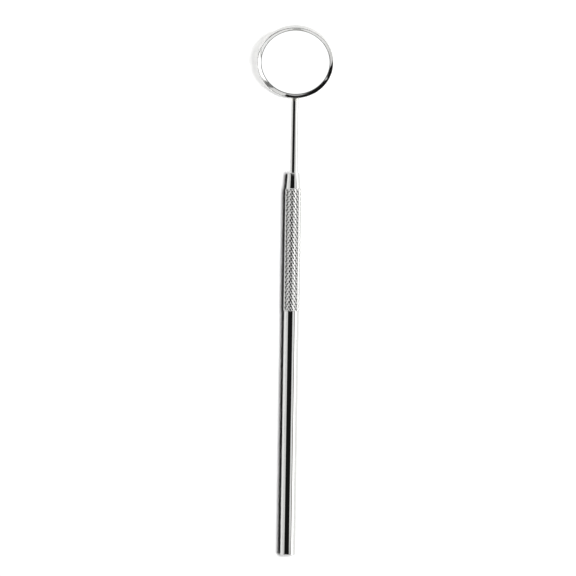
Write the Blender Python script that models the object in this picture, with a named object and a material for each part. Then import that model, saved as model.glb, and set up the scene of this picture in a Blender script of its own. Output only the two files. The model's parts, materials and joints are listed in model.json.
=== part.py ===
"""Mouth mirror: a round mirror head on a bent stem that screws into a knurled, tubular handle.

The mirror lies face up. +Y runs along the handle towards the head, +Z is up, and the origin is the
centre of the footprint on the surface that it lies on. Lengths along the handle ("stations") are
counted from the butt end, and shifted to the origin's place by along().
"""

import math

import bmesh
import bpy
from mathutils import Vector

MM = 0.001

# Fits
PRESS_GAP = 0.02 * MM  # left between pieces that are pressed, brazed or cemented together
SCREW_GAP = 0.04 * MM  # left between the hub and the bore that it screws into

# Mirror head, a short round box seen from its own flat back
MIRROR_ANGLE = math.radians(27.5)  # between the mirror's face and the handle
RIM_RADIUS = 12.0 * MM
RIM_BAND = 1.07 * MM  # width of the rim ring, seen from the front
RIM_HEIGHT = 2.75 * MM
RIM_ROUND = 0.2 * MM
RIM_SLOPE = math.radians(33)  # fall of the rim towards the glass
RING_FOOT = 1.2 * MM  # height of the ring's skirt over the flat back
RING_WALL = 0.28 * MM
CUP_HEIGHT = 2.0 * MM
CUP_WALL = 0.45 * MM
CUP_FLOOR = 0.5 * MM
CUP_ROUND = 0.6 * MM
FLOOR_ROUND = 0.25 * MM
BEDDING_THICKNESS = 0.22 * MM
GLASS_THICKNESS = 1.3 * MM

# Stem
STEM_RADIUS_TIP = 1.2 * MM
STEM_RADIUS_NECK = 1.27 * MM
STEM_TIP_HEIGHT = 1.34 * MM  # height of the stem's centre line where it meets the cup
HEAD_CLEARANCE = 0.03 * MM  # between the cup's lowest edge and the surface that it lies on
STEM_STRAIGHT = 4.0 * MM  # straight length in front of the handle
TENON_RADIUS = 0.8 * MM
TENON_LENGTH = 4.15 * MM
FILLET_LENGTH = 0.8 * MM
FILLET_SKIN = 0.05 * MM  # thickness of the solder at its thin end, and above and below the stem
FILLET_WIDTH = 0.2 * MM

# Handle stations, from the butt end
PLUG_LENGTH = 6.0 * MM
GRIP_START = 76.9 * MM
GRIP_END = 115.6 * MM
NOSE_FACE = 120.5 * MM
FRONT_RIM_STATION = 144.2 * MM  # nearest point of the rim's front edge

# Handle sections
TUBE_RADIUS = 2.4 * MM
TUBE_BORE = 1.92 * MM
BUTT_ROUND = 0.4 * MM
GRIP_RADIUS = 2.6 * MM
KNURL_DEPTH = 0.22 * MM
KNURL_STARTS = 14
KNURL_ROWS = 23
GRIP_END_RADIUS = 2.32 * MM
GRIP_CHAMFER = 0.8 * MM
NOSE_BACK_RADIUS = 2.25 * MM
NOSE_FRONT_RADIUS = 1.93 * MM
NOSE_ROUND = 0.35 * MM
NOSE_SPIGOT_END = 112.6 * MM
NOSE_BORE_END = 113.4 * MM
SPIGOT_DEPTH = 7.0 * MM  # of the joining spigot in the grip
SPIGOT_LENGTH = 15.0 * MM
SPIGOT_CHAMFER = 0.3 * MM
PLUG_EDGE = 0.06 * MM

# Threaded hub, M3 x 0.5
THREAD_PITCH = 0.5 * MM
THREAD_RADIUS = 1.48 * MM
THREAD_DEPTH = 0.27 * MM
THREAD_TURNS = 10
HUB_HEAD = 1.1 * MM
HUB_RELIEF = 0.35 * MM
TENON_BORE = TENON_RADIUS + SCREW_GAP

ROUND_STEPS = 5  # straight pieces in a quarter-round
TURN_STEPS = 40  # flats around a handle piece
HEAD_STEPS = 72  # flats around a head piece
ROD_STEPS = 24  # flats around the stem

# Finishes as (colour, roughness, metallic)
POLISHED_STEEL = ((0.72, 0.72, 0.71), 0.06, 1.0)
KNURLED_STEEL = ((0.68, 0.68, 0.67), 0.14, 1.0)
MIRROR_SILVER = ((0.93, 0.94, 0.94), 0.01, 1.0)
BEDDING_CEMENT = ((0.78, 0.77, 0.72), 0.8, 0.0)
SILVER_SOLDER = ((0.74, 0.73, 0.68), 0.2, 1.0)

# Worked out
AXIS_HEIGHT = GRIP_RADIUS
RING_SKIRT_RADIUS = RIM_RADIUS - CUP_WALL - PRESS_GAP
GLASS_RADIUS = RING_SKIRT_RADIUS - RING_WALL - PRESS_GAP
GLASS_TOP = CUP_FLOOR + BEDDING_THICKNESS + GLASS_THICKNESS + 2 * PRESS_GAP
RISE, RUN = math.sin(MIRROR_ANGLE), math.cos(MIRROR_ANGLE)
HEAD_HEIGHT = HEAD_CLEARANCE + RIM_RADIUS * RISE - CUP_ROUND * (RISE + RUN - 1)
HEAD_STATION = FRONT_RIM_STATION + RIM_RADIUS * RUN + (RIM_HEIGHT - RIM_ROUND) * RISE
HEAD_TOP_STATION = HEAD_STATION + RIM_RADIUS * RUN - CUP_ROUND * (RISE + RUN - 1)
STEM_TIP_IN_RIM = (STEM_TIP_HEIGHT - HEAD_HEIGHT + RIM_RADIUS * RISE) / RUN  # up from the back
STEM_TIP_STATION = HEAD_STATION - RIM_RADIUS * RUN - STEM_TIP_IN_RIM * RISE
HUB_FACE = NOSE_FACE - 0.05 * MM
STEM_SHOULDER = HUB_FACE + PRESS_GAP
THREAD_END = HUB_FACE - HUB_HEAD - HUB_RELIEF
THREAD_START = THREAD_END - THREAD_TURNS * THREAD_PITCH


def along(station):
    """Y of a station counted from the butt end."""
    return station - HEAD_TOP_STATION / 2


# ---------------------------------------------------------------- building blocks


def clear_scene():
    for item in list(bpy.data.objects):
        bpy.data.objects.remove(item, do_unlink=True)


def make_material(name, color, roughness, metallic):
    material = bpy.data.materials.new(name)
    material.use_nodes = True
    shader = material.node_tree.nodes["Principled BSDF"]
    shader.inputs["Base Color"].default_value = (*color, 1.0)
    shader.inputs["Roughness"].default_value = roughness
    shader.inputs["Metallic"].default_value = metallic
    return material


def make_empty(name, location, parent=None, rotation=(0.0, 0.0, 0.0)):
    empty = bpy.data.objects.new(name, None)
    empty.empty_display_size = 5 * MM
    empty.location = location
    empty.rotation_euler = rotation
    empty.parent = parent
    bpy.context.scene.collection.objects.link(empty)
    return empty


def finish_object(name, bm, finish, parent):
    bmesh.ops.recalc_face_normals(bm, faces=bm.faces)
    mesh = bpy.data.meshes.new(name)
    bm.to_mesh(mesh)
    bm.free()
    mesh.materials.append(make_material(name + "_finish", *finish))
    mesh.shade_smooth()
    mesh.set_sharp_from_angle(angle=math.radians(35))
    item = bpy.data.objects.new(name, mesh)
    item.parent = parent
    bpy.context.scene.collection.objects.link(item)
    return item


def arc(centre_r, centre_h, radius, start, end, steps=ROUND_STEPS):
    """Points of a circular arc in a (radius, height) outline; the angles are in degrees."""
    angles = [math.radians(start + (end - start) * i / steps) for i in range(steps + 1)]
    return [(centre_r + radius * math.cos(a), centre_h + radius * math.sin(a)) for a in angles]


def turn(outline, steps, axis):
    """Spin a closed (radius, height) outline round Y or Z into one solid."""
    bm = bmesh.new()
    if axis == "Y":
        verts = [bm.verts.new((r, h, 0.0)) for r, h in outline]
        direction = (0.0, 1.0, 0.0)
    else:
        verts = [bm.verts.new((r, 0.0, h)) for r, h in outline]
        direction = (0.0, 0.0, 1.0)
    edges = [bm.edges.new((verts[i - 1], verts[i])) for i in range(len(verts))]
    for edge in edges:
        if all(abs(v.co.x) < 1e-9 for v in edge.verts):
            bm.edges.remove(edge)
    edges = list(bm.edges)
    bmesh.ops.spin(
        bm, geom=verts + edges, cent=(0, 0, 0), axis=direction, angle=2 * math.pi, steps=steps,
        use_merge=True,
    )
    bmesh.ops.remove_doubles(bm, verts=bm.verts, dist=1e-8)
    return bm


def ring_vertices(bm, centre, forward, radius_side, radius_up, steps):
    """A ring of vertices round a point, square to the direction forward in the YZ plane."""
    side = Vector((1.0, 0.0, 0.0))
    up = side.cross(forward).normalized()
    ring = []
    for i in range(steps):
        a = 2 * math.pi * i / steps
        ring.append(
            bm.verts.new(centre + side * radius_side * math.cos(a) + up * radius_up * math.sin(a))
        )
    return ring


def join_rings(bm, lower, upper):
    count = len(lower)
    for i in range(count):
        j = (i + 1) % count
        bm.faces.new((lower[i], lower[j], upper[j], upper[i]))


def wavy_cylinder(bm, rows, steps):
    """Rings of vertices about Y, one for each (height, radius) row.

    radius is a function of the vertex's number in its ring.
    """
    rings = []
    for height, radius in rows:
        ring = []
        for i in range(steps):
            a = 2 * math.pi * i / steps
            r = radius(i)
            ring.append(bm.verts.new((r * math.cos(a), height, r * math.sin(a))))
        rings.append(ring)
    return rings


# ---------------------------------------------------------------- mirror head


def make_head_cup(parent):
    """Pressed cup with a flat back, a rounded corner and an upright wall."""
    inner = RIM_RADIUS - CUP_WALL
    outline = [(0.0, CUP_FLOOR), (0.0, 0.0)]
    outline += arc(RIM_RADIUS - CUP_ROUND, CUP_ROUND, CUP_ROUND, -90, 0)
    outline += [(RIM_RADIUS, CUP_HEIGHT), (inner, CUP_HEIGHT)]
    outline += arc(inner - FLOOR_ROUND, CUP_FLOOR + FLOOR_ROUND, FLOOR_ROUND, 0, -90, 2)
    return finish_object("head_cup", turn(outline, HEAD_STEPS, "Z"), POLISHED_STEEL, parent)


def make_glass_bedding(parent):
    """Thin layer of cement between the cup's floor and the glass."""
    bottom = CUP_FLOOR + PRESS_GAP
    top = bottom + BEDDING_THICKNESS
    radius = GLASS_RADIUS - 0.1 * MM
    outline = [(0.0, top), (0.0, bottom), (radius, bottom), (radius, top)]
    return finish_object("glass_bedding", turn(outline, HEAD_STEPS, "Z"), BEDDING_CEMENT, parent)


def make_mirror_glass(parent):
    """Flat glass disc, silvered on its front, with a fine arris round both edges."""
    bottom = GLASS_TOP - GLASS_THICKNESS
    arris = 0.08 * MM
    outline = [
        (0.0, GLASS_TOP),
        (0.0, bottom),
        (GLASS_RADIUS - arris, bottom),
        (GLASS_RADIUS, bottom + arris),
        (GLASS_RADIUS, GLASS_TOP - arris),
        (GLASS_RADIUS - arris, GLASS_TOP),
    ]
    return finish_object("mirror_glass", turn(outline, HEAD_STEPS, "Z"), MIRROR_SILVER, parent)


def make_rim_ring(parent):
    """Ring that holds the glass: a skirt pressed into the cup, and a lip that falls to the glass."""
    lip = RIM_RADIUS - RIM_BAND
    seat = CUP_HEIGHT + PRESS_GAP
    under = GLASS_TOP + PRESS_GAP
    bore = RING_SKIRT_RADIUS - RING_WALL
    outline = [(bore, RING_FOOT), (RING_SKIRT_RADIUS, RING_FOOT)]
    outline += [(RING_SKIRT_RADIUS, seat), (RIM_RADIUS, seat)]
    slope_start = 90 + math.degrees(RIM_SLOPE)
    outline += arc(RIM_RADIUS - RIM_ROUND, RIM_HEIGHT - RIM_ROUND, RIM_ROUND, 0, slope_start)
    slope_radius, slope_height = outline[-1]
    lip_height = slope_height - (slope_radius - lip) * math.tan(RIM_SLOPE)
    outline += [(lip, lip_height), (lip, under), (bore, under)]
    return finish_object("rim_ring", turn(outline, HEAD_STEPS, "Z"), POLISHED_STEEL, parent)


# ---------------------------------------------------------------- stem


def stem_route():
    """Centre line of the stem as (point, forward) pairs, from its shoulder to the rim."""
    start = Vector((0.0, along(STEM_SHOULDER), 0.0))
    bend = Vector((0.0, along(STEM_SHOULDER + STEM_STRAIGHT), 0.0))
    tip = Vector((0.0, along(STEM_TIP_STATION), STEM_TIP_HEIGHT - AXIS_HEIGHT))
    slope = math.atan2(tip.z - bend.z, tip.y - bend.y)
    forward = Vector((0.0, math.cos(slope), math.sin(slope)))
    reach = 3 * MM  # length of the bend on each side of its corner
    route = [(start, Vector((0.0, 1.0, 0.0)))]
    before = bend - Vector((0.0, reach, 0.0))
    after = bend + forward * reach
    for i in range(5):
        t = i / 4
        point = before * (1 - t) ** 2 + bend * 2 * t * (1 - t) + after * t**2
        heading = (bend - before) * (1 - t) + (after - bend) * t
        route.append((point, heading.normalized()))
    route.append(((after + tip) / 2, forward))
    route.append((tip, forward))
    return route


def make_rim_cutter(parent):
    """The head's outer wall, carried on past its back and front, which the stem stops at."""
    radius, reach = RIM_RADIUS + PRESS_GAP, 2 * RIM_HEIGHT
    outline = [(0.0, -reach), (radius, -reach), (radius, reach), (0.0, reach)]
    cutter = finish_object("rim_cutter", turn(outline, HEAD_STEPS * 2, "Z"), POLISHED_STEEL, parent)
    cutter.hide_render = True
    cutter.display_type = "WIRE"
    return cutter


def cut_by(item, cutter):
    modifier = item.modifiers.new("meets_rim", "BOOLEAN")
    modifier.operation = "DIFFERENCE"
    modifier.solver = "EXACT"
    modifier.object = cutter


def make_stem_rod(parent, cutter):
    """Bent rod with a tenon at the handle's end, cut to the head's round wall at the other."""
    route = stem_route()
    shift = Vector((0.0, -along(NOSE_FACE), 0.0))
    start, tip = route[0][0], route[-1][0]
    bm = bmesh.new()
    level = Vector((0.0, 1.0, 0.0))
    tenon_end = start - level * TENON_LENGTH
    stations = [
        (tenon_end, level, TENON_RADIUS - 0.15 * MM),
        (tenon_end + level * 0.15 * MM, level, TENON_RADIUS),
        (start, level, TENON_RADIUS),
    ]
    length = (tip - start).length
    for point, forward in route:
        share = (point - start).length / length
        radius = STEM_RADIUS_NECK + (STEM_RADIUS_TIP - STEM_RADIUS_NECK) * share
        stations.append((point, forward, radius))
    past_rim = tip + route[-1][1] * 2.5 * MM
    stations.append((past_rim, route[-1][1], STEM_RADIUS_TIP))
    rings = [ring_vertices(bm, p + shift, f, r, r, ROD_STEPS) for p, f, r in stations]
    for lower, upper in zip(rings, rings[1:]):
        join_rings(bm, lower, upper)
    bm.faces.new(rings[0])
    bm.faces.new(rings[-1])
    rod = finish_object("stem_rod", bm, POLISHED_STEEL, parent)
    cut_by(rod, cutter)
    return rod


def make_stem_braze(parent, cutter):
    """Collar of silver solder that fills the corner between the stem and the rim."""
    route = stem_route()
    shift = Vector((0.0, -along(NOSE_FACE), 0.0))
    tip, forward = route[-1]
    bm = bmesh.new()
    inner_radius = STEM_RADIUS_TIP + PRESS_GAP
    height = inner_radius + FILLET_SKIN
    outer, inner = [], []
    for i in range(5):
        share = i / 4
        centre = tip + shift - forward * FILLET_LENGTH * (1 - share)
        width = height + FILLET_WIDTH * share**2
        outer.append(ring_vertices(bm, centre, forward, width, height, ROD_STEPS))
    past_rim = tip + shift + forward * 2.2 * MM
    outer.append(ring_vertices(bm, past_rim, forward, width, height, ROD_STEPS))
    first = tip + shift - forward * FILLET_LENGTH
    for centre in (first, past_rim):
        inner.append(ring_vertices(bm, centre, forward, inner_radius, inner_radius, ROD_STEPS))
    for lower, upper in zip(outer, outer[1:]):
        join_rings(bm, lower, upper)
    join_rings(bm, inner[0], inner[1])
    join_rings(bm, outer[0], inner[0])
    join_rings(bm, outer[-1], inner[1])
    braze = finish_object("stem_braze", bm, SILVER_SOLDER, parent)
    cut_by(braze, cutter)
    return braze


# ---------------------------------------------------------------- screw and handle


def make_threaded_hub(parent):
    """Turned hub with an outside thread, bored for the stem's tenon."""
    shift = -along(NOSE_FACE)
    bm = bmesh.new()
    steps_per_turn = 4
    columns = 20
    chamfer = THREAD_PITCH

    def thread_radius(row, column):
        phase = (row / steps_per_turn - column / columns) % 1.0
        height = 1 - abs(2 * phase - 1)
        return THREAD_RADIUS - THREAD_DEPTH * (1 - height)

    rows = []
    total = THREAD_TURNS * steps_per_turn
    core = THREAD_RADIUS - THREAD_DEPTH
    rows.append((along(THREAD_START) - chamfer / 2, lambda i: core - 0.1 * MM))
    rows.append((along(THREAD_START), lambda i: core))
    for row in range(1, total):
        height = along(THREAD_START) + row * THREAD_PITCH / steps_per_turn
        rows.append((height, lambda i, row=row: thread_radius(row, i)))
    head_start = along(HUB_FACE - HUB_HEAD)
    edge = 0.1 * MM
    head_radius = THREAD_RADIUS
    rows.append((along(THREAD_END), lambda i: core))
    rows.append((head_start - edge, lambda i: core))
    rows.append((head_start, lambda i: head_radius))
    rows.append((along(HUB_FACE) - edge, lambda i: head_radius))
    rows.append((along(HUB_FACE), lambda i: head_radius - edge))
    rings = wavy_cylinder(bm, [(h + shift, r) for h, r in rows], columns)
    for lower, upper in zip(rings, rings[1:]):
        join_rings(bm, lower, upper)
    bore_end = along(STEM_SHOULDER - TENON_LENGTH) - 2 * PRESS_GAP + shift
    bore = wavy_cylinder(
        bm, [(along(HUB_FACE) + shift, lambda i: TENON_BORE), (bore_end, lambda i: TENON_BORE)], columns
    )
    join_rings(bm, rings[-1], bore[0])
    join_rings(bm, bore[0], bore[1])
    bm.faces.new(bore[1])
    bm.faces.new(rings[0])
    bmesh.ops.triangulate(bm, faces=bm.faces)
    return finish_object("threaded_hub", bm, POLISHED_STEEL, parent)


def make_handle_nose(parent):
    """Conical nose of the handle, with the bore that takes the hub and a spigot for the grip."""
    bore = THREAD_RADIUS + SCREW_GAP
    spigot = TUBE_BORE - PRESS_GAP
    shoulder = GRIP_END + PRESS_GAP
    slope = (NOSE_BACK_RADIUS - NOSE_FRONT_RADIUS) / (NOSE_FACE - shoulder)
    outline = [(0.0, along(NOSE_BORE_END)), (0.0, along(NOSE_SPIGOT_END))]
    outline += [(spigot - 0.2 * MM, along(NOSE_SPIGOT_END))]
    outline += [(spigot, along(NOSE_SPIGOT_END) + 0.2 * MM), (spigot, along(shoulder))]
    outline += [(NOSE_BACK_RADIUS, along(shoulder))]
    round_start = NOSE_FACE - NOSE_ROUND
    front = NOSE_FRONT_RADIUS + slope * NOSE_ROUND
    outline += arc(front - NOSE_ROUND, along(round_start), NOSE_ROUND, 0, 90)
    outline += [(bore + 0.08 * MM, along(NOSE_FACE)), (bore, along(NOSE_FACE) - 0.08 * MM)]
    outline += [(bore, along(NOSE_BORE_END))]
    return finish_object("handle_nose", turn(outline, TURN_STEPS, "Y"), POLISHED_STEEL, parent)


def make_knurled_grip(parent):
    """Solid grip with a diamond knurl rolled into it, bored at both ends."""
    columns = 2 * KNURL_STARTS
    rows_between = 2 * KNURL_ROWS
    low = along(GRIP_START + GRIP_CHAMFER)
    high = along(GRIP_END - GRIP_CHAMFER)
    valley = GRIP_RADIUS - KNURL_DEPTH

    def knurl_radius(row, column):
        return GRIP_RADIUS if (row + column) % 2 == 0 else valley

    rows = [(along(GRIP_START), lambda i: GRIP_END_RADIUS)]
    for row in range(rows_between + 1):
        height = low + (high - low) * row / rows_between
        rows.append((height, lambda i, row=row: knurl_radius(row, i)))
    rows.append((along(GRIP_END), lambda i: GRIP_END_RADIUS))
    bm = bmesh.new()
    rings = wavy_cylinder(bm, rows, columns)
    for j, (lower, upper) in enumerate(zip(rings, rings[1:])):
        for i in range(columns):
            k = (i + 1) % columns
            corners = (lower[i], lower[k], upper[k], upper[i])
            if j == 0 or j == len(rings) - 2:
                bm.faces.new(corners)
            elif (j - 1 + i) % 2 == 0:
                bm.faces.new((lower[i], lower[k], upper[i]))
                bm.faces.new((lower[k], upper[k], upper[i]))
            else:
                bm.faces.new((lower[i], lower[k], upper[k]))
                bm.faces.new((lower[i], upper[k], upper[i]))
    front_end = along(NOSE_SPIGOT_END) - PRESS_GAP
    back_end = along(GRIP_START + SPIGOT_DEPTH) + PRESS_GAP
    front = wavy_cylinder(
        bm, [(along(GRIP_END), lambda i: TUBE_BORE), (front_end, lambda i: TUBE_BORE)], columns
    )
    back = wavy_cylinder(
        bm, [(along(GRIP_START), lambda i: TUBE_BORE), (back_end, lambda i: TUBE_BORE)], columns
    )
    join_rings(bm, rings[-1], front[0])
    join_rings(bm, front[0], front[1])
    bm.faces.new(front[1])
    join_rings(bm, rings[0], back[0])
    join_rings(bm, back[0], back[1])
    bm.faces.new(back[1])
    bmesh.ops.triangulate(bm, faces=[f for f in bm.faces if len(f.verts) > 3])
    return finish_object("knurled_grip", bm, KNURLED_STEEL, parent)


def make_joining_spigot(parent):
    """Pin that joins the tube to the grip, pressed into both."""
    radius = TUBE_BORE - PRESS_GAP
    high = along(GRIP_START + SPIGOT_DEPTH)
    low = high - SPIGOT_LENGTH
    outline = [
        (0.0, high),
        (0.0, low),
        (radius - SPIGOT_CHAMFER, low),
        (radius, low + SPIGOT_CHAMFER),
        (radius, high - SPIGOT_CHAMFER),
        (radius - SPIGOT_CHAMFER, high),
    ]
    return finish_object("joining_spigot", turn(outline, TURN_STEPS, "Y"), POLISHED_STEEL, parent)


def make_handle_tube(parent):
    """Plain polished tube behind the grip, with a rounded edge at the butt."""
    high = along(GRIP_START) - PRESS_GAP
    outline = [(TUBE_BORE, along(0.0))]
    outline += arc(TUBE_RADIUS - BUTT_ROUND, along(0.0) + BUTT_ROUND, BUTT_ROUND, -90, 0)
    outline += [(TUBE_RADIUS, high), (TUBE_BORE, high)]
    return finish_object("handle_tube", turn(outline, TURN_STEPS, "Y"), POLISHED_STEEL, parent)


def make_end_plug(parent):
    """Plug pressed into the tube's butt end, with its face flush with the tube's."""
    radius = TUBE_BORE - PRESS_GAP
    face, inner = along(0.0), along(PLUG_LENGTH)
    outline = [
        (0.0, inner),
        (0.0, face),
        (radius - PLUG_EDGE, face),
        (radius, face + PLUG_EDGE),
        (radius, inner - SPIGOT_CHAMFER),
        (radius - SPIGOT_CHAMFER, inner),
    ]
    return finish_object("end_plug", turn(outline, TURN_STEPS, "Y"), POLISHED_STEEL, parent)


def main():
    clear_scene()
    handle = make_empty("handle_axis", (0.0, 0.0, AXIS_HEIGHT))
    make_end_plug(handle)
    make_handle_tube(handle)
    make_joining_spigot(handle)
    make_knurled_grip(handle)
    make_handle_nose(handle)

    screw = make_empty("screw_axis", (0.0, along(NOSE_FACE), AXIS_HEIGHT))
    make_threaded_hub(screw)

    head_place = (
        0.0, along(HEAD_STATION) - along(NOSE_FACE), HEAD_HEIGHT - AXIS_HEIGHT
    )
    head = make_empty("head_back_centre", head_place, screw, (MIRROR_ANGLE, 0.0, 0.0))
    make_head_cup(head)
    make_glass_bedding(head)
    make_mirror_glass(head)
    make_rim_ring(head)

    cutter = make_rim_cutter(head)
    make_stem_rod(screw, cutter)
    make_stem_braze(screw, cutter)


main()
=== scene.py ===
"""The mouth mirror's looks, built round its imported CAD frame.

The frame gives the places: the record's mounts and joints, and the CAD nodes with their boxes.
Each visible piece is rebuilt here with fine steps, rounded edges and procedural metal, and stands
for its CAD node. Two hidden pieces stay as CAD made them and only get a material.
"""

import json
import math

import bmesh
import bpy
from mathutils import Matrix, Vector


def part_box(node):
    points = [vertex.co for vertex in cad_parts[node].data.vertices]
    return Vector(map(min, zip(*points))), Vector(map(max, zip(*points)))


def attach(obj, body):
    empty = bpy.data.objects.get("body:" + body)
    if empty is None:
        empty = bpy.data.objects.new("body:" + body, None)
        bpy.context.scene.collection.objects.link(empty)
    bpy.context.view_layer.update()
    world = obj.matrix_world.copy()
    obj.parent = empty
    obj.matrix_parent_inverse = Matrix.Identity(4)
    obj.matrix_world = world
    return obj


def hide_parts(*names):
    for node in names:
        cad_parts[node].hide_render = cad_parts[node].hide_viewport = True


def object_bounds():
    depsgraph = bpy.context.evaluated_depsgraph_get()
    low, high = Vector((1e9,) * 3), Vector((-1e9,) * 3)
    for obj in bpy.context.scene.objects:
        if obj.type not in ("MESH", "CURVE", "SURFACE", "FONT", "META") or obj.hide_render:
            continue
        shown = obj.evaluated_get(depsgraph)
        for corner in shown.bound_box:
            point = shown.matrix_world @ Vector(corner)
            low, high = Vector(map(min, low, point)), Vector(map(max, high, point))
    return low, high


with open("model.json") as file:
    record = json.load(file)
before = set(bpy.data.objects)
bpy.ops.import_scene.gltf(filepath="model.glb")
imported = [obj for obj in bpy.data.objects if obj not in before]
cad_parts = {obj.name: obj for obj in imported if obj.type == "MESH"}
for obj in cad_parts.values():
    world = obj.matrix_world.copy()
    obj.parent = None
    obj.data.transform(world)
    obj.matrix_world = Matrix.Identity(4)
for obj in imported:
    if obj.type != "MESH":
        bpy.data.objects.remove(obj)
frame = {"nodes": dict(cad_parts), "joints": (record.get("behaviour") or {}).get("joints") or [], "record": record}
CAD_LOW, CAD_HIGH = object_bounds()

MM = 0.001

# Flats and facets
TURN_STEPS = 160  # flats round a handle piece
HEAD_STEPS = 256  # flats round a head piece
ROD_STEPS = 64  # flats round the stem
ARC_STEPS = 8  # straight pieces in a rounded corner
SHARP_ANGLE = 30  # degrees between faces from which an edge is shaded as an edge

# Fits
PRESS_GAP = 0.02 * MM  # between pieces that are pressed or cemented together
SCREW_GAP = 0.04 * MM  # between the screw and its bore, and between the tenon and its own
EMBED = 0.06 * MM  # how far the stem and its solder reach into the cup's wall

# Handle
SEAM_ROUND = 0.05 * MM  # broken edge where two pieces meet
BUTT_ROUND = 0.4 * MM
PLUG_EDGE = 0.06 * MM
PLUG_INNER_ROUND = 0.3 * MM
NOSE_ROUND = 0.18 * MM
NOSE_FRONT_RADIUS = 1.93 * MM
NOSE_SPIGOT_ROUND = 0.2 * MM
NOSE_BORE_EDGE = 0.08 * MM
NOSE_BORE_SPARE = 0.35 * MM  # depth of the bore beyond the screw

# Head
CUP_ROUND = 0.6 * MM
CUP_WALL = 0.45 * MM
CUP_FLOOR = 0.5 * MM
FLOOR_ROUND = 0.25 * MM
RIM_ROUND = 0.2 * MM
RIM_SLOPE = math.radians(33)  # fall of the rim towards the glass
RIM_BAND = 1.07 * MM
RING_WALL = 0.28 * MM
SKIRT_EDGE = 0.05 * MM
LIP_EDGE = 0.04 * MM
LIP_UNDERSIDE_EDGE = 0.03 * MM
GLASS_ARRIS = 0.08 * MM
LIP_SHADOW_LINE = 0.3 * MM  # painted shadow line on the glass under the rim's lip

# Knurl
KNURL_STARTS = 14
KNURL_PITCH = 1.613 * MM
KNURL_DEPTH = 0.2 * MM
KNURL_CELLS = 12  # mesh steps in one pitch, both ways
KNURL_FLAT = 0.06  # share of a pitch that is left flat on top
SHOULDER_LENGTH = 0.9 * MM
SHOULDER_DROP = 0.3 * MM

# Screw
THREAD_PITCH = 0.5 * MM
THREAD_DEPTH = 0.27 * MM
THREAD_TURNS = 10
THREAD_STEPS = 48  # flats round the screw
RINGS_PER_TURN = 12  # rings of the mesh in one turn of the thread
FLANK_GAIN = 1.25  # makes the flanks steeper, which leaves flats at top and root
FLANK_SHIFT = 0.12
HUB_HEAD = 1.1 * MM
HUB_RELIEF = 0.35 * MM
HUB_EDGE = 0.1 * MM
TENON_RADIUS = 0.8 * MM
TENON_EDGE = 0.15 * MM

# Stem
STEM_STRAIGHT = 4.0 * MM
BEND_REACH = 3.0 * MM  # length of the bend's curve on either side of its corner
BEND_STEPS = 14
STEM_RADIUS_NECK = 1.27 * MM
STEM_RADIUS_TIP = 1.2 * MM
STEM_TIP_HEIGHT = 1.34 * MM
STEM_LAST_RING = 2.0 * MM  # distance of the stem's last full ring from its tip

# Solder fillet
FILLET_LENGTH = 0.8 * MM
FILLET_WIDTH = 0.22 * MM
FILLET_LAYERS = 8
FILLET_SKIN = 0.01 * MM  # thickness of the solder at its thin end
FILLET_FOOT = 2.2 * MM  # distance before the tip from which the wall is looked for
FILLET_DEPTH = 0.25 * MM  # how far the solder reaches into the stem's skin
FILLET_UP_SHARE = 0.25  # the fillet is widest sideways, and this share of that above and below
FILLET_BACKSTEP = 0.3 * MM  # step back from the wall before reaching into it

# ---------------------------------------------------------------- places, read from the frame

MOUNTS = {mount["name"]: mount for mount in frame["record"]["mounts"]}
STEM_TURN = next(joint for joint in frame["joints"] if joint["type"] == "hinge")
AXIS_HEIGHT = STEM_TURN["pos_m"][2]
FACE_NORMAL = -Vector(MOUNTS["cup_back"]["axis"])
MIRROR_ANGLE = math.atan2(-FACE_NORMAL.y, FACE_NORMAL.z)

HANDLE_PLACE = Matrix.Translation((0, 0, AXIS_HEIGHT)) @ Matrix.Rotation(-math.pi / 2, 4, "X")
HEAD_PLACE = Matrix.Translation(MOUNTS["cup_back"]["pos_m"]) @ Matrix.Rotation(
    MIRROR_ANGLE, 4, "X"
)


def extent(node, place):
    """(greatest radius, lowest, highest) of a CAD node about a place's Z axis."""
    back = place.inverted()
    points = [back @ v.co for v in frame["nodes"][node].data.vertices]
    heights = [p.z for p in points]
    return max(math.hypot(p.x, p.y) for p in points), min(heights), max(heights)


# ---------------------------------------------------------------- mesh building


def rounded(corners):
    """Outline from (radius, height, rounding) corners; each rounding becomes an arc."""
    points = []
    for i, (r, h, size) in enumerate(corners):
        here = Vector((r, h))
        if size == 0:
            points.append(here)
            continue
        to_last = (Vector(corners[i - 1][:2]) - here).normalized()
        to_next = (Vector(corners[(i + 1) % len(corners)][:2]) - here).normalized()
        half = to_last.angle(to_next) / 2
        centre = here + (to_last + to_next).normalized() * size / math.sin(half)
        start = here + to_last * size / math.tan(half) - centre
        end = here + to_next * size / math.tan(half) - centre
        first = math.atan2(start.y, start.x)
        sweep = math.atan2(end.y, end.x) - first
        sweep = (sweep + math.pi) % (2 * math.pi) - math.pi
        for k in range(ARC_STEPS + 1):
            a = first + sweep * k / ARC_STEPS
            points.append(centre + Vector((math.cos(a), math.sin(a))) * size)
    return [(max(p.x, 0.0), p.y) for p in points]


def circle(radius, height, steps):
    """Ring of points about Z; radius may be a function of the point's number."""
    ring = []
    for i in range(steps):
        a = 2 * math.pi * i / steps
        r = radius(i) if callable(radius) else radius
        ring.append(Vector((r * math.cos(a), r * math.sin(a), height)))
    return ring


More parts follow.
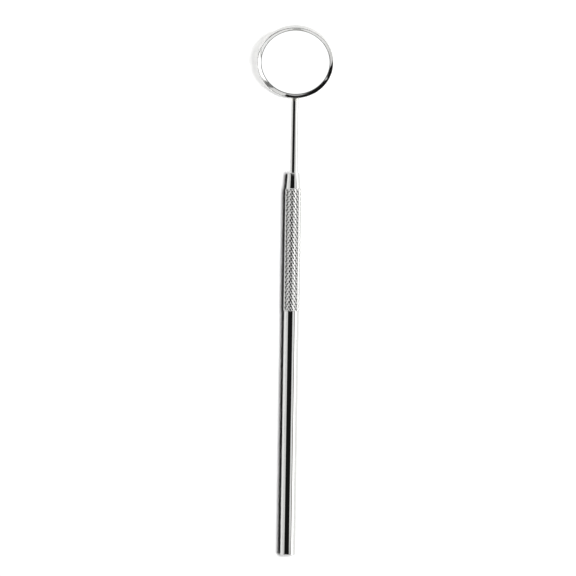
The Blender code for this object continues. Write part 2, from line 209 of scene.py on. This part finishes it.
def make_piece(
    name, rings, place, node, body, material, looped=False, sharp=SHARP_ANGLE, split=None
):
    """Skin over a run of rings, as a piece that stands for a CAD node.

    A ring of one point is a tip. split(j, i) says that cell i after ring j is cut in two
    triangles, along its rising or its falling diagonal, or not at all.
    """
    bm = bmesh.new()
    rows = [[bm.verts.new(p) for p in ring] for ring in rings]
    pairs = list(zip(rows, rows[1:]))
    if looped:
        pairs.append((rows[-1], rows[0]))
    for j, (low, high) in enumerate(pairs):
        count = max(len(low), len(high))
        if count == 1:
            continue
        for i in range(count):
            k = (i + 1) % count
            if len(low) == 1:
                bm.faces.new((low[0], high[k], high[i]))
            elif len(high) == 1:
                bm.faces.new((low[i], low[k], high[0]))
            elif split and split(j, i) == "rising":
                bm.faces.new((low[i], low[k], high[k]))
                bm.faces.new((low[i], high[k], high[i]))
            elif split and split(j, i) == "falling":
                bm.faces.new((low[i], low[k], high[i]))
                bm.faces.new((low[k], high[k], high[i]))
            else:
                bm.faces.new((low[i], low[k], high[k], high[i]))
    bmesh.ops.recalc_face_normals(bm, faces=bm.faces)
    mesh = bpy.data.meshes.new(name)
    bm.to_mesh(mesh)
    bm.free()
    mesh.materials.append(material)
    mesh.shade_smooth()
    mesh.set_sharp_from_angle(angle=math.radians(sharp))
    piece = bpy.data.objects.new(name, mesh)
    piece.matrix_world = place
    bpy.context.scene.collection.objects.link(piece)
    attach(piece, body)
    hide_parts(node)
    piece.visible_diffuse = False
    return piece


def turn(name, corners, place, node, body, material, steps=TURN_STEPS):
    """Piece turned from an outline of (radius, height, rounding) corners."""
    rings = []
    for r, h in rounded(corners):
        rings.append([Vector((0.0, 0.0, h))] if r < 1e-9 else circle(r, h, steps))
    on_axis = [len(ring) == 1 for ring in rings]
    while any(on_axis) and not (on_axis[0] and on_axis[-1]):
        rings = rings[1:] + rings[:1]
        on_axis = on_axis[1:] + on_axis[:1]
    looped = not any(on_axis)
    return make_piece(name, rings, place, node, body, material, looped=looped)


# ---------------------------------------------------------------- materials


class Nodes:
    """Short way to write a node tree."""

    def __init__(self, tree):
        self.tree = tree

    def add(self, kind, inputs=None, **settings):
        node = self.tree.nodes.new(kind)
        for key, value in settings.items():
            setattr(node, key, value)
        for key, value in (inputs or {}).items():
            if isinstance(value, bpy.types.NodeSocket):
                self.link(value, node.inputs[key])
            else:
                node.inputs[key].default_value = value
        return node

    def math(self, operation, *values):
        inputs = dict(enumerate(values))
        return self.add("ShaderNodeMath", inputs, operation=operation).outputs[0]

    def ramp(self, value, low, high, out_low=0.0, out_high=1.0):
        """Smooth change from out_low to out_high as value goes from low to high."""
        node = self.add(
            "ShaderNodeMapRange",
            {"Value": value, 1: low, 2: high, 3: out_low, 4: out_high},
            interpolation_type="SMOOTHSTEP",
        )
        return node.outputs[0]

    def noise(self, place, scale, detail=3.0, stretch=(1, 1, 1)):
        """Noise value; scale is in cells per metre and stretch multiplies it by axis."""
        spread = self.add("ShaderNodeMapping", {"Vector": place, "Scale": stretch}).outputs[0]
        node = self.add(
            "ShaderNodeTexNoise",
            {"Vector": spread, "Scale": scale, "Detail": detail, "Roughness": 0.55},
        )
        return node.outputs[0]

    def blend(self, share, first, second):
        """Colour that changes from first to second as share goes from 0 to 1."""
        inputs = {0: share}
        for socket, colour in ((6, first), (7, second)):
            is_socket = isinstance(colour, bpy.types.NodeSocket)
            inputs[socket] = colour if is_socket else (*colour, 1)
        return self.add("ShaderNodeMix", inputs, data_type="RGBA").outputs[2]

    def bump(self, height, strength, distance):
        inputs = {"Strength": strength, "Distance": distance, "Height": height}
        return self.add("ShaderNodeBump", inputs).outputs[0]

    def length(self, vector):
        return self.add("ShaderNodeVectorMath", {0: vector}, operation="LENGTH").outputs["Value"]

    def link(self, value, socket):
        self.tree.links.new(value, socket)


def new_material(name, slot):
    material = bpy.data.materials.new(name)
    material.use_nodes = True
    material["slot"] = slot
    shader = material.node_tree.nodes["Principled BSDF"]
    return material, shader, Nodes(material.node_tree)


# colour of the painted shade in the knurl's grooves
HOLLOW_SHADE_TINT = (0.06, 0.055, 0.05)


def steel(name, slot, tint, roughness, brush, brush_depth, hollow_shade=0.0):
    """Polished steel: fine brush lines, a faint haze in patches, and a few hairline scratches.

    brush is the noise's stretch, which sets the way the polishing lines run. The last argument is
    how much painted shade darkens the piece's hollows, by their depth.
    """
    material, shader, nodes = new_material(name, slot)
    place = nodes.add("ShaderNodeTexCoord").outputs["Object"]
    lines = nodes.noise(place, 2200.0, 4.0, brush)
    haze = nodes.noise(place, 260.0, 3.0)
    patches = nodes.noise(place, 900.0, 5.0)
    scratches = nodes.ramp(nodes.noise(place, 900.0, 2.0, brush[::-1]), 0.66, 0.72)

    hazy = nodes.ramp(haze, 0.35, 0.7, roughness * 0.75, roughness * 1.5)
    lined = nodes.math("MULTIPLY_ADD", lines, roughness * 0.6, hazy)
    rough = nodes.math("MULTIPLY_ADD", scratches, roughness * 0.8, lined)
    nodes.link(rough, shader.inputs["Roughness"])

    darker = [c * 0.95 for c in tint]
    tone = nodes.blend(nodes.ramp(patches, 0.3, 0.7), darker, tint)
    # painted shade: the grooves are darkened by their depth, more in some patches
    if hollow_shade:
        hollow = nodes.add("ShaderNodeAttribute", attribute_name="hollow").outputs["Fac"]
        shaded_hollow = nodes.math("MULTIPLY", hollow, nodes.ramp(patches, 0.25, 0.75, 0.6, 1.0))
        tone = nodes.blend(nodes.math("MULTIPLY", shaded_hollow, hollow_shade), tone, HOLLOW_SHADE_TINT)
    nodes.link(tone, shader.inputs["Base Color"])

    relief = nodes.math("MULTIPLY_ADD", scratches, -0.5, lines)
    nodes.link(nodes.bump(relief, 0.12, brush_depth), shader.inputs["Normal"])
    shader.inputs["Metallic"].default_value = 1.0
    return material


def front_mirror():
    """Silvered face: almost no roughness, a trace of wiping marks, and a painted shadow line at its edge."""
    material, shader, nodes = new_material("mirror_silver", "mirror_face")
    place = nodes.add("ShaderNodeTexCoord").outputs["Object"]
    flat = nodes.add("ShaderNodeMapping", {"Vector": place, "Scale": (1, 1, 0)}).outputs[0]
    rim = extent("rim_ring", HEAD_PLACE)[0] - RIM_BAND
    # painted shadow: a near-black ring on the glass just inside the rim's lip
    edge = nodes.ramp(nodes.length(flat), rim - LIP_SHADOW_LINE, rim - LIP_SHADOW_LINE / 3)
    wipes = nodes.noise(place, 180.0, 4.0, (0.25, 1.0, 1.0))
    dust = nodes.ramp(nodes.noise(place, 5200.0, 1.0), 0.78, 0.84)
    rough = nodes.math("MULTIPLY_ADD", dust, 0.12, nodes.ramp(wipes, 0.45, 0.8, 0.004, 0.02))
    nodes.link(rough, shader.inputs["Roughness"])
    silver = nodes.blend(nodes.ramp(wipes, 0.3, 0.8), (0.93, 0.94, 0.94), (0.96, 0.965, 0.96))
    tone = nodes.blend(edge, silver, (0.03, 0.03, 0.03))
    nodes.link(tone, shader.inputs["Base Color"])
    shader.inputs["Metallic"].default_value = 1.0
    return material


def cement():
    """Set cement, chalky and slightly mottled."""
    material, shader, nodes = new_material("set_cement", "bedding_cement")
    place = nodes.add("ShaderNodeTexCoord").outputs["Object"]
    mottle = nodes.noise(place, 1500.0, 5.0)
    tone = nodes.blend(mottle, (0.68, 0.67, 0.61), (0.84, 0.83, 0.78))
    nodes.link(tone, shader.inputs["Base Color"])
    nodes.link(nodes.bump(mottle, 0.4, 0.05 * MM), shader.inputs["Normal"])
    shader.inputs["Roughness"].default_value = 0.85
    return material


GLOW_REACH = (0.14, 0.7)  # metres from the table's middle over which the glow sets in
GLOW = 0.85


def paper():
    """Matt white table, faintly uneven, which stays pale beyond the lights' reach."""
    material, shader, nodes = new_material("white_table", "")
    place = nodes.add("ShaderNodeTexCoord").outputs["Object"]
    grain = nodes.noise(place, 700.0, 4.0)
    nodes.link(nodes.blend(grain, (0.86,) * 3, (0.9,) * 3), shader.inputs["Base Color"])
    glow = nodes.ramp(nodes.length(place), *GLOW_REACH, 0.0, GLOW)
    nodes.link(glow, shader.inputs["Emission Strength"])
    shader.inputs["Emission Color"].default_value = (1, 1, 1, 1)
    shader.inputs["Roughness"].default_value = 0.9
    shader.inputs["Specular IOR Level"].default_value = 0.1
    return material


ACROSS = (0.04, 0.04, 1.0)  # polishing lines that run round a turned piece
LENGTHWISE = (1.0, 1.0, 0.04)  # polishing lines that run along it

BRIGHT = (0.62, 0.62, 0.61)
WORN = (0.66, 0.66, 0.65)
DULL = (0.58, 0.58, 0.57)
SILVERY = (0.66, 0.65, 0.6)
FINE, COARSE = 0.004 * MM, 0.01 * MM  # depth of the polishing lines

HANDLE_STEEL = steel("handle_steel", "polished_steel", BRIGHT, 0.035, ACROSS, FINE)
HEAD_STEEL = steel("head_steel", "polished_steel", BRIGHT, 0.045, ACROSS, FINE)
STEM_STEEL = steel("stem_steel", "polished_steel", BRIGHT, 0.02, LENGTHWISE, FINE / 2)
THREAD_STEEL = steel("thread_steel", "polished_steel", DULL, 0.12, ACROSS, COARSE)
# the knurl's grooves get painted shade
GRIP_STEEL = steel("grip_steel", "knurled_steel", WORN, 0.04, LENGTHWISE, FINE, hollow_shade=0.35)
SOLDER = steel("solder_metal", "silver_solder", SILVERY, 0.12, LENGTHWISE, COARSE)
MIRROR = front_mirror()
CEMENT = cement()


# ---------------------------------------------------------------- handle


def make_end_plug():
    radius, low, high = extent("end_plug", HANDLE_PLACE)
    corners = [
        (0, low, 0),
        (radius, low, PLUG_EDGE),
        (radius, high, PLUG_INNER_ROUND),
        (0, high, 0),
    ]
    return turn("butt_plug", corners, HANDLE_PLACE, "end_plug", "handle", HANDLE_STEEL)


def make_handle_tube():
    radius, low, high = extent("handle_tube", HANDLE_PLACE)
    bore = extent("joining_spigot", HANDLE_PLACE)[0] + PRESS_GAP
    corners = [
        (bore, low, PLUG_EDGE / 2),
        (radius, low, BUTT_ROUND),
        (radius, high, SEAM_ROUND),
        (bore, high, 0),
    ]
    return turn("plain_tube", corners, HANDLE_PLACE, "handle_tube", "handle", HANDLE_STEEL)


def make_grip():
    """Diamond knurl: two crossing sets of grooves, with flat tops and rounded shoulders."""
    radius, low, high = extent("knurled_grip", HANDLE_PLACE)
    bore = extent("joining_spigot", HANDLE_PLACE)[0] + PRESS_GAP
    columns = KNURL_STARTS * KNURL_CELLS
    cell = KNURL_PITCH / KNURL_CELLS
    rows = int(round((high - low) / cell))
    flank = 0.5 - KNURL_FLAT / 2

    def groove(turns):
        """0 on the flat tops, 1 at the bottom of a groove; turns counts whole grooves."""
        off = abs((turns + 0.5) % 1.0 - 0.5)
        return max(0.0, 1 - off / flank)

    def depth(i, j):
        rising = groove((i + j) / KNURL_CELLS)
        falling = groove((i - j) / KNURL_CELLS)
        return max(rising, falling)

    def envelope(y):
        """Radius of the blank that the grooves are rolled into, with its rounded ends."""
        edge = min(y - low, high - y, SHOULDER_LENGTH) / SHOULDER_LENGTH
        return radius - SHOULDER_DROP * (1 - math.sqrt(max(0.0, 1 - (1 - edge) ** 2)))

    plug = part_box("handle_nose")[0].y
    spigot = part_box("joining_spigot")[1].y
    rings = [
        [Vector((0, 0, spigot))],
        circle(bore, spigot, columns),
        circle(bore, low, columns),
    ]
    before = len(rings)
    hollows = [0.0] * (1 + 2 * columns)
    for j in range(rows + 1):
        y = low + (high - low) * j / rows
        cut = [radius - KNURL_DEPTH * depth(i, j) for i in range(columns)]
        limit = envelope(y)
        rings.append(circle(lambda i: min(cut[i], limit), y, columns))
        hollows += [min(1.0, max(0.0, (limit - r) / KNURL_DEPTH)) for r in cut]

    rings.append(circle(bore, high, columns))
    rings.append(circle(bore, plug, columns))
    rings.append([Vector((0, 0, plug))])

    def split(ring, i):
        """Cuts a cell of the knurl along its crest or its groove, whichever crosses it."""
        j = ring - before
        if j < 0 or j >= rows:
            return None
        climb = abs(depth(i, j) - depth(i + 1, j + 1))
        fall = abs(depth(i + 1, j) - depth(i, j + 1))
        return "rising" if climb < fall else "falling"

    piece = make_piece(
        "diamond_grip",
        rings,
        HANDLE_PLACE,
        "knurled_grip",
        "handle",
        GRIP_STEEL,
        sharp=20,
        split=split,
    )
    hollows += [0.0] * (len(piece.data.vertices) - len(hollows))
    # groove depth at each point, which the grip's material turns into painted shade
    layer = piece.data.attributes.new("hollow", "FLOAT", "POINT")
    layer.data.foreach_set("value", hollows)
    return piece


def make_nose():
    radius, low, high = extent("handle_nose", HANDLE_PLACE)
    spigot = extent("joining_spigot", HANDLE_PLACE)[0]
    bore = extent("threaded_hub", HANDLE_PLACE)[0] + SCREW_GAP
    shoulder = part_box("knurled_grip")[1].y + PRESS_GAP
    bore_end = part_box("threaded_hub")[0].y - NOSE_BORE_SPARE
    corners = [
        (0, bore_end, 0),
        (0, low, 0),
        (spigot, low, NOSE_SPIGOT_ROUND),
        (spigot, shoulder, 0),
        (radius, shoulder, SEAM_ROUND),
        (NOSE_FRONT_RADIUS, high, NOSE_ROUND),
        (bore, high, NOSE_BORE_EDGE),
        (bore, bore_end, 0),
    ]
    return turn("nose_cone", corners, HANDLE_PLACE, "handle_nose", "handle", HANDLE_STEEL)


# ---------------------------------------------------------------- hub


def make_hub():
    """Hub with a real helical thread, a plain head and the bore for the stem's tenon."""
    radius, low, high = extent("threaded_hub", HANDLE_PLACE)
    core = radius - THREAD_DEPTH
    head_start = high - HUB_HEAD
    thread_start = head_start - HUB_RELIEF - THREAD_TURNS * THREAD_PITCH
    tenon_bore = TENON_RADIUS + SCREW_GAP
    tenon_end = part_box("stem_rod")[0].y - PRESS_GAP

    def crest(j, i):
        """0 at the thread's root, 1 at its top; its flanks are straight."""
        phase = (j / RINGS_PER_TURN - i / THREAD_STEPS) % 1.0
        share = (1 - abs(2 * phase - 1)) * FLANK_GAIN - FLANK_SHIFT
        return min(1.0, max(0.0, share))

    rings = [[Vector((0, 0, low))], circle(core - HUB_EDGE, low, THREAD_STEPS)]
    total = THREAD_TURNS * RINGS_PER_TURN
    for j in range(total + 1):
        fade = min(1.0, j / RINGS_PER_TURN, (total - j) / RINGS_PER_TURN * 2)
        y = thread_start + j * THREAD_PITCH / RINGS_PER_TURN
        grow = THREAD_DEPTH * fade
        rings.append(circle(lambda i: core + grow * crest(j, i), y, THREAD_STEPS))
    for r, y in (
        (core, head_start - HUB_EDGE),
        (radius, head_start),
        (radius, high - HUB_EDGE),
        (radius - HUB_EDGE, high),
        (tenon_bore, high),
        (tenon_bore, tenon_end),
    ):
        rings.append(circle(r, y, THREAD_STEPS))
    rings.append([Vector((0, 0, tenon_end))])
    return make_piece(
        "screw_hub", rings, HANDLE_PLACE, "threaded_hub", "hub", THREAD_STEEL, sharp=35
    )


# ---------------------------------------------------------------- head


def make_cup():
    radius, low, high = extent("head_cup", HEAD_PLACE)
    corners = [
        (0, CUP_FLOOR, 0),
        (0, low, 0),
        (radius, low, CUP_ROUND),
        (radius, high, SEAM_ROUND),
        (radius - CUP_WALL, high, 0),
        (radius - CUP_WALL, CUP_FLOOR, FLOOR_ROUND),
    ]
    return turn("mirror_cup", corners, HEAD_PLACE, "head_cup", "head", HEAD_STEEL, HEAD_STEPS)


def make_ring():
    """Ring with a skirt in the cup, and a rounded rim that slopes down to a lip on the glass."""
    radius, low, high = extent("rim_ring", HEAD_PLACE)
    glass_radius, _, glass_top = extent("mirror_glass", HEAD_PLACE)
    lip = radius - RIM_BAND
    seat = extent("head_cup", HEAD_PLACE)[2] + PRESS_GAP
    bore = glass_radius + PRESS_GAP
    skirt = bore + RING_WALL
    under = glass_top + PRESS_GAP
    rise, run = math.sin(RIM_SLOPE), math.cos(RIM_SLOPE)
    crown = high - RIM_ROUND  # height of the rounding's centre
    corners = [
        (bore, low, SKIRT_EDGE),
        (skirt, low, SKIRT_EDGE),
        (skirt, seat, 0),
        (radius, seat, SEAM_ROUND),
        (radius, crown + RIM_ROUND * (1 + rise) / run, RIM_ROUND),
        (lip, crown + (RIM_ROUND - (RIM_BAND - RIM_ROUND) * rise) / run, LIP_EDGE),
        (lip, under, LIP_UNDERSIDE_EDGE),
        (bore, under, 0),
    ]
    return turn("rolled_rim", corners, HEAD_PLACE, "rim_ring", "head", HEAD_STEEL, HEAD_STEPS)


def make_glass():
    radius, low, high = extent("mirror_glass", HEAD_PLACE)
    corners = [
        (0, high, 0),
        (0, low, 0),
        (radius - GLASS_ARRIS, low, 0),
        (radius, low + GLASS_ARRIS, 0),
        (radius, high - GLASS_ARRIS, 0),
        (radius - GLASS_ARRIS, high, 0),
    ]
    return turn("mirror_disc", corners, HEAD_PLACE, "mirror_glass", "head", MIRROR, HEAD_STEPS)


# ---------------------------------------------------------------- stem


def stem_line():
    """Centre line of the stem as (point, forward) pairs, from its shoulder to the cup's wall."""
    start = Vector((0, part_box("threaded_hub")[1].y + PRESS_GAP, AXIS_HEIGHT))
    bend = start + Vector((0, STEM_STRAIGHT, 0))
    radius = extent("head_cup", HEAD_PLACE)[0]
    edge = HEAD_PLACE @ Vector((0, -radius, 0))
    climb = (STEM_TIP_HEIGHT - edge.z) / math.cos(MIRROR_ANGLE)
    tip = HEAD_PLACE @ Vector((0, -radius, climb))
    forward = (tip - bend).normalized()
    before = bend - Vector((0, BEND_REACH, 0))
    after = bend + forward * BEND_REACH
    line = [(start, Vector((0, 1, 0)))]
    for i in range(BEND_STEPS + 1):
        t = i / BEND_STEPS
        point = before * (1 - t) ** 2 + bend * 2 * t * (1 - t) + after * t**2
        heading = (bend - before) * (1 - t) + (after - bend) * t
        line.append((point, heading.normalized()))
    line.append((after.lerp(tip, 0.5), forward))
    line.append((tip, forward))
    return line


def directions(forward):
    """Unit vectors square to forward, one for each flat round the stem."""
    side = Vector((1, 0, 0))
    up = side.cross(forward).normalized()
    angles = [2 * math.pi * i / ROD_STEPS for i in range(ROD_STEPS)]
    return [side * math.cos(a) + up * math.sin(a) for a in angles]


def loop_round(centre, forward, radius):
    return [centre + outward * radius for outward in directions(forward)]


def reach_wall(point, forward, sink):
    """Moves a point along forward until it is sink deep in the head's round wall."""
    radius = extent("rim_ring", HEAD_PLACE)[0] - sink
    inward = HEAD_PLACE.inverted()
    start = inward @ point
    step = inward.to_3x3() @ forward
    a = step.x**2 + step.y**2
    b = start.x * step.x + start.y * step.y
    c = start.x**2 + start.y**2 - radius**2
    return point + forward * (-b - math.sqrt(b**2 - a * c)) / a


def make_stem():
    """Stem with its tenon and shoulder, a slight bend, and an end that follows the cup's wall."""
    line = stem_line()
    start, ahead = line[0]
    tip, forward = line[-1]
    tenon_end = Vector((0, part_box("stem_rod")[0].y, AXIS_HEIGHT))
    rings = [[tenon_end]]
    for centre, radius in (
        (tenon_end, TENON_RADIUS - TENON_EDGE),
        (tenon_end + ahead * TENON_EDGE, TENON_RADIUS),
        (start, TENON_RADIUS),
        (start, STEM_RADIUS_NECK - SEAM_ROUND),
    ):
        rings.append(loop_round(centre, ahead, radius))
    length = (tip - start).length
    for point, heading in [(start + ahead * SEAM_ROUND, ahead)] + line[1:]:
        share = (point - start).length / length
        radius = STEM_RADIUS_NECK + (STEM_RADIUS_TIP - STEM_RADIUS_NECK) * share
        rings.append(loop_round(point, heading, radius))
    rings[-1] = [p - forward * STEM_LAST_RING for p in rings[-1]]
    end = [reach_wall(p, forward, EMBED) for p in rings[-1]]
    rings.append(end)
    rings.append([sum(end, Vector()) / ROD_STEPS + forward * PRESS_GAP])
    return make_piece("bent_stem", rings, Matrix(), "stem_rod", "head", STEM_STEEL)


def make_solder():
    """Concave fillet that fills the corner between the stem and the cup's wall."""
    tip, forward = stem_line()[-1]
    foot = tip - forward * FILLET_FOOT
    on_wall = [
        reach_wall(p, forward, EMBED) for p in loop_round(foot, forward, STEM_RADIUS_TIP)
    ]
    around = list(zip(on_wall, directions(forward)))
    rings = []
    for k in range(FILLET_LAYERS + 1):
        share = k / FILLET_LAYERS
        flare = FILLET_WIDTH * (1 - math.sqrt(max(0.0, 1 - share**2)))
        ring = []
        for wall, outward in around:
            sideways = abs(outward.x) * (1 - FILLET_UP_SHARE) + FILLET_UP_SHARE
            grow = FILLET_SKIN + flare * sideways
            ring.append(wall - forward * FILLET_LENGTH * (1 - share) + outward * grow)
        rings.append(ring)
    rings[-1] = [reach_wall(p - forward * FILLET_BACKSTEP, forward, EMBED) for p in rings[-1]]
    rings.append([wall - outward * FILLET_DEPTH for wall, outward in around])
    rings.append([p - forward * FILLET_LENGTH for p in rings[-1]])
    return make_piece(
        "solder_fillet", rings, Matrix(), "stem_braze", "head", SOLDER, looped=True
    )


# ---------------------------------------------------------------- studio

VIEW_WIDTH = 181.9 * MM  # width that the frame covers at the handle's height
CAMERA_DISTANCE = 800 * MM
CAMERA_LENGTH_AIM = 84.2 * MM  # from the butt to the middle of the frame
CAMERA_SIDE_AIM = -1.25 * MM
CAMERA_ROLL = math.radians(0.9)
FLOOR_SIZE = 3.0  # half the table's width, in metres
LIGHT_DISTANCE = 0.7  # of the panels, in metres


def make_camera():
    data = bpy.data.cameras.new("studio_camera")
    data.lens = data.sensor_width * CAMERA_DISTANCE / VIEW_WIDTH
    data.clip_start = 0.05
    data.clip_end = 20.0
    camera = bpy.data.objects.new("studio_camera", data)
    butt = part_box("end_plug")[0].y
    camera.location = (CAMERA_SIDE_AIM, butt + CAMERA_LENGTH_AIM, AXIS_HEIGHT + CAMERA_DISTANCE)
    camera.rotation_euler = (0, 0, CAMERA_ROLL)
    bpy.context.scene.collection.objects.link(camera)
    bpy.context.scene.camera = camera


def make_floor():
    bm = bmesh.new()
    bmesh.ops.create_grid(bm, x_segments=1, y_segments=1, size=FLOOR_SIZE)
    mesh = bpy.data.meshes.new("table_top")
    bm.to_mesh(mesh)
    bm.free()
    mesh.materials.append(paper())
    floor = bpy.data.objects.new("table_top", mesh)
    floor.location = (0, 0, CAD_LOW.z)
    bpy.context.scene.collection.objects.link(floor)


def make_light(name, right, toward, width, length, power, casters=None):
    """Soft panel over the table; right and toward are its angles from straight up, in degrees.

    It lights the table and casts the shadows; the metal reflects the studio's dome instead.
    casters lists the pieces that cast a shadow in it, where they aren't all to do so.
    """
    a, b = math.radians(right), math.radians(toward)
    direction = Vector((math.sin(a), -math.sin(b), math.cos(a) * math.cos(b))).normalized()
    data = bpy.data.lights.new(name, "AREA")
    data.shape = "RECTANGLE"
    data.size = width
    data.size_y = length
    data.energy = power
    light = bpy.data.objects.new(name, data)
    light.location = direction * LIGHT_DISTANCE
    light.rotation_euler = direction.to_track_quat("Z", "Y").to_euler()
    light.visible_glossy = False
    light.visible_camera = False
    bpy.context.scene.collection.objects.link(light)
    if casters:
        group = bpy.data.collections.new(name + "_casters")
        for piece in casters:
            group.objects.link(piece)
        light.light_linking.blocker_collection = group


# The dome, in degrees across the handle (positive to the right) and along it (positive to the
# head), and in brightness
ROOM_STEP = (-62, -56)  # the room is a little brighter to the right of this
ROOM = (1.0, 1.13)
BRIGHT_SIDE = (55, 86)  # gives the white band at the right
BRIGHT_SIDE_EXTRA = 1.3
GAP = (40, 53)  # gives the grey line between the black strip and the white band
GAP_ALONG = (-11, 11)
EDGE = (87, 98)  # gives the thin line at the right edge
LINE_DARKNESS = 0.75  # of the gap and the edge
CARDS = (  # as left, right, near, far
    (-57, 16, -19, 16),  # gives the black strip along the handle
    (-76, 48, -42, -12),  # darkens the knurl's facets and the rim's lower right
    (-112, -52, 14, 60),  # darkens the knurl's left side
)
CARD_DARKNESS = 0.99
NEAR_END = (-82, -64)  # the room is dark beyond this
NEAR_END_LEVEL = 0.2
BACKDROP = 0.95  # what the camera itself sees past the table


def make_dome():
    """What the metal reflects: a pale room with a bright side, and dark cards."""
    world = bpy.data.worlds.new("studio_dome")
    world.use_nodes = True
    bpy.context.scene.world = world
    nodes = Nodes(world.node_tree)
    way = nodes.add("ShaderNodeTexCoord").outputs["Generated"]
    axes = nodes.add("ShaderNodeSeparateXYZ", {0: way}).outputs
    degrees = 180 / math.pi
    across = nodes.math("MULTIPLY", nodes.math("ARCTAN2", axes[0], axes[2]), degrees)
    along = nodes.math("MULTIPLY", nodes.math("ARCSINE", axes[1]), degrees)

    def band(value, low, high, soft):
        """1 between low and high, fading over soft degrees on either side of each."""
        rise = nodes.ramp(value, low - soft, low + soft)
        fall = nodes.ramp(value, high - soft, high + soft, 1.0, 0.0)
        return nodes.math("MULTIPLY", rise, fall)

    def darkened(level, mask, share):
        """level, less the given share of it where mask is 1."""
        return nodes.math("MULTIPLY", level, nodes.math("MULTIPLY_ADD", mask, -share, 1.0))

    room = nodes.ramp(across, *ROOM_STEP, *ROOM)
    level = nodes.math("MULTIPLY_ADD", band(across, *BRIGHT_SIDE, 3), BRIGHT_SIDE_EXTRA, room)
    gap = nodes.math("MULTIPLY", band(across, *GAP, 2), band(along, *GAP_ALONG, 3))
    level = darkened(level, gap, LINE_DARKNESS)
    level = darkened(level, band(across, *EDGE, 2), LINE_DARKNESS)
    cards = 0.0
    for left, right, near, far in CARDS:
        card = nodes.math("MULTIPLY", band(across, left, right, 1.5), band(along, near, far, 3))
        cards = nodes.math("MAXIMUM", cards, card)
    level = darkened(level, cards, CARD_DARKNESS)
    near_end = nodes.ramp(along, *NEAR_END, NEAR_END_LEVEL, 1.0)
    level = nodes.math("MULTIPLY", level, near_end)

    seen = nodes.add("ShaderNodeLightPath").outputs["Is Camera Ray"]
    level = nodes.add("ShaderNodeMix", {0: seen, 2: level, 3: BACKDROP}).outputs[0]
    background = world.node_tree.nodes["Background"]
    nodes.link(level, background.inputs["Strength"])
    background.inputs["Color"].default_value = (1, 1, 1, 1)
    world.cycles_visibility.diffuse = False


handle_pieces = [make_end_plug(), make_handle_tube(), make_grip(), make_nose()]
make_hub()
make_stem()
make_solder()
head_pieces = [make_cup(), make_glass(), make_ring()]
for hidden, metal in (("joining_spigot", HANDLE_STEEL), ("glass_bedding", CEMENT)):
    frame["nodes"][hidden].material_slots[0].material = metal

make_camera()
make_floor()
make_dome()
narrow = {"width": 0.07, "length": 0.2}
wide = {"width": 0.17, "length": 0.2}
broad = {"width": 0.9, "length": 0.9}
make_light(
    "key_near", right=18, toward=-7, power=3.3, casters=handle_pieces + head_pieces, **narrow
)
make_light("key_contact", right=18, toward=5, power=1.1, casters=handle_pieces, **narrow)
make_light("key_far", right=27, toward=5, power=3.3, casters=handle_pieces, **wide)
make_light("fill", right=-20, toward=0, power=0.1, **broad)

bpy.context.scene.view_settings.view_transform = "Standard"
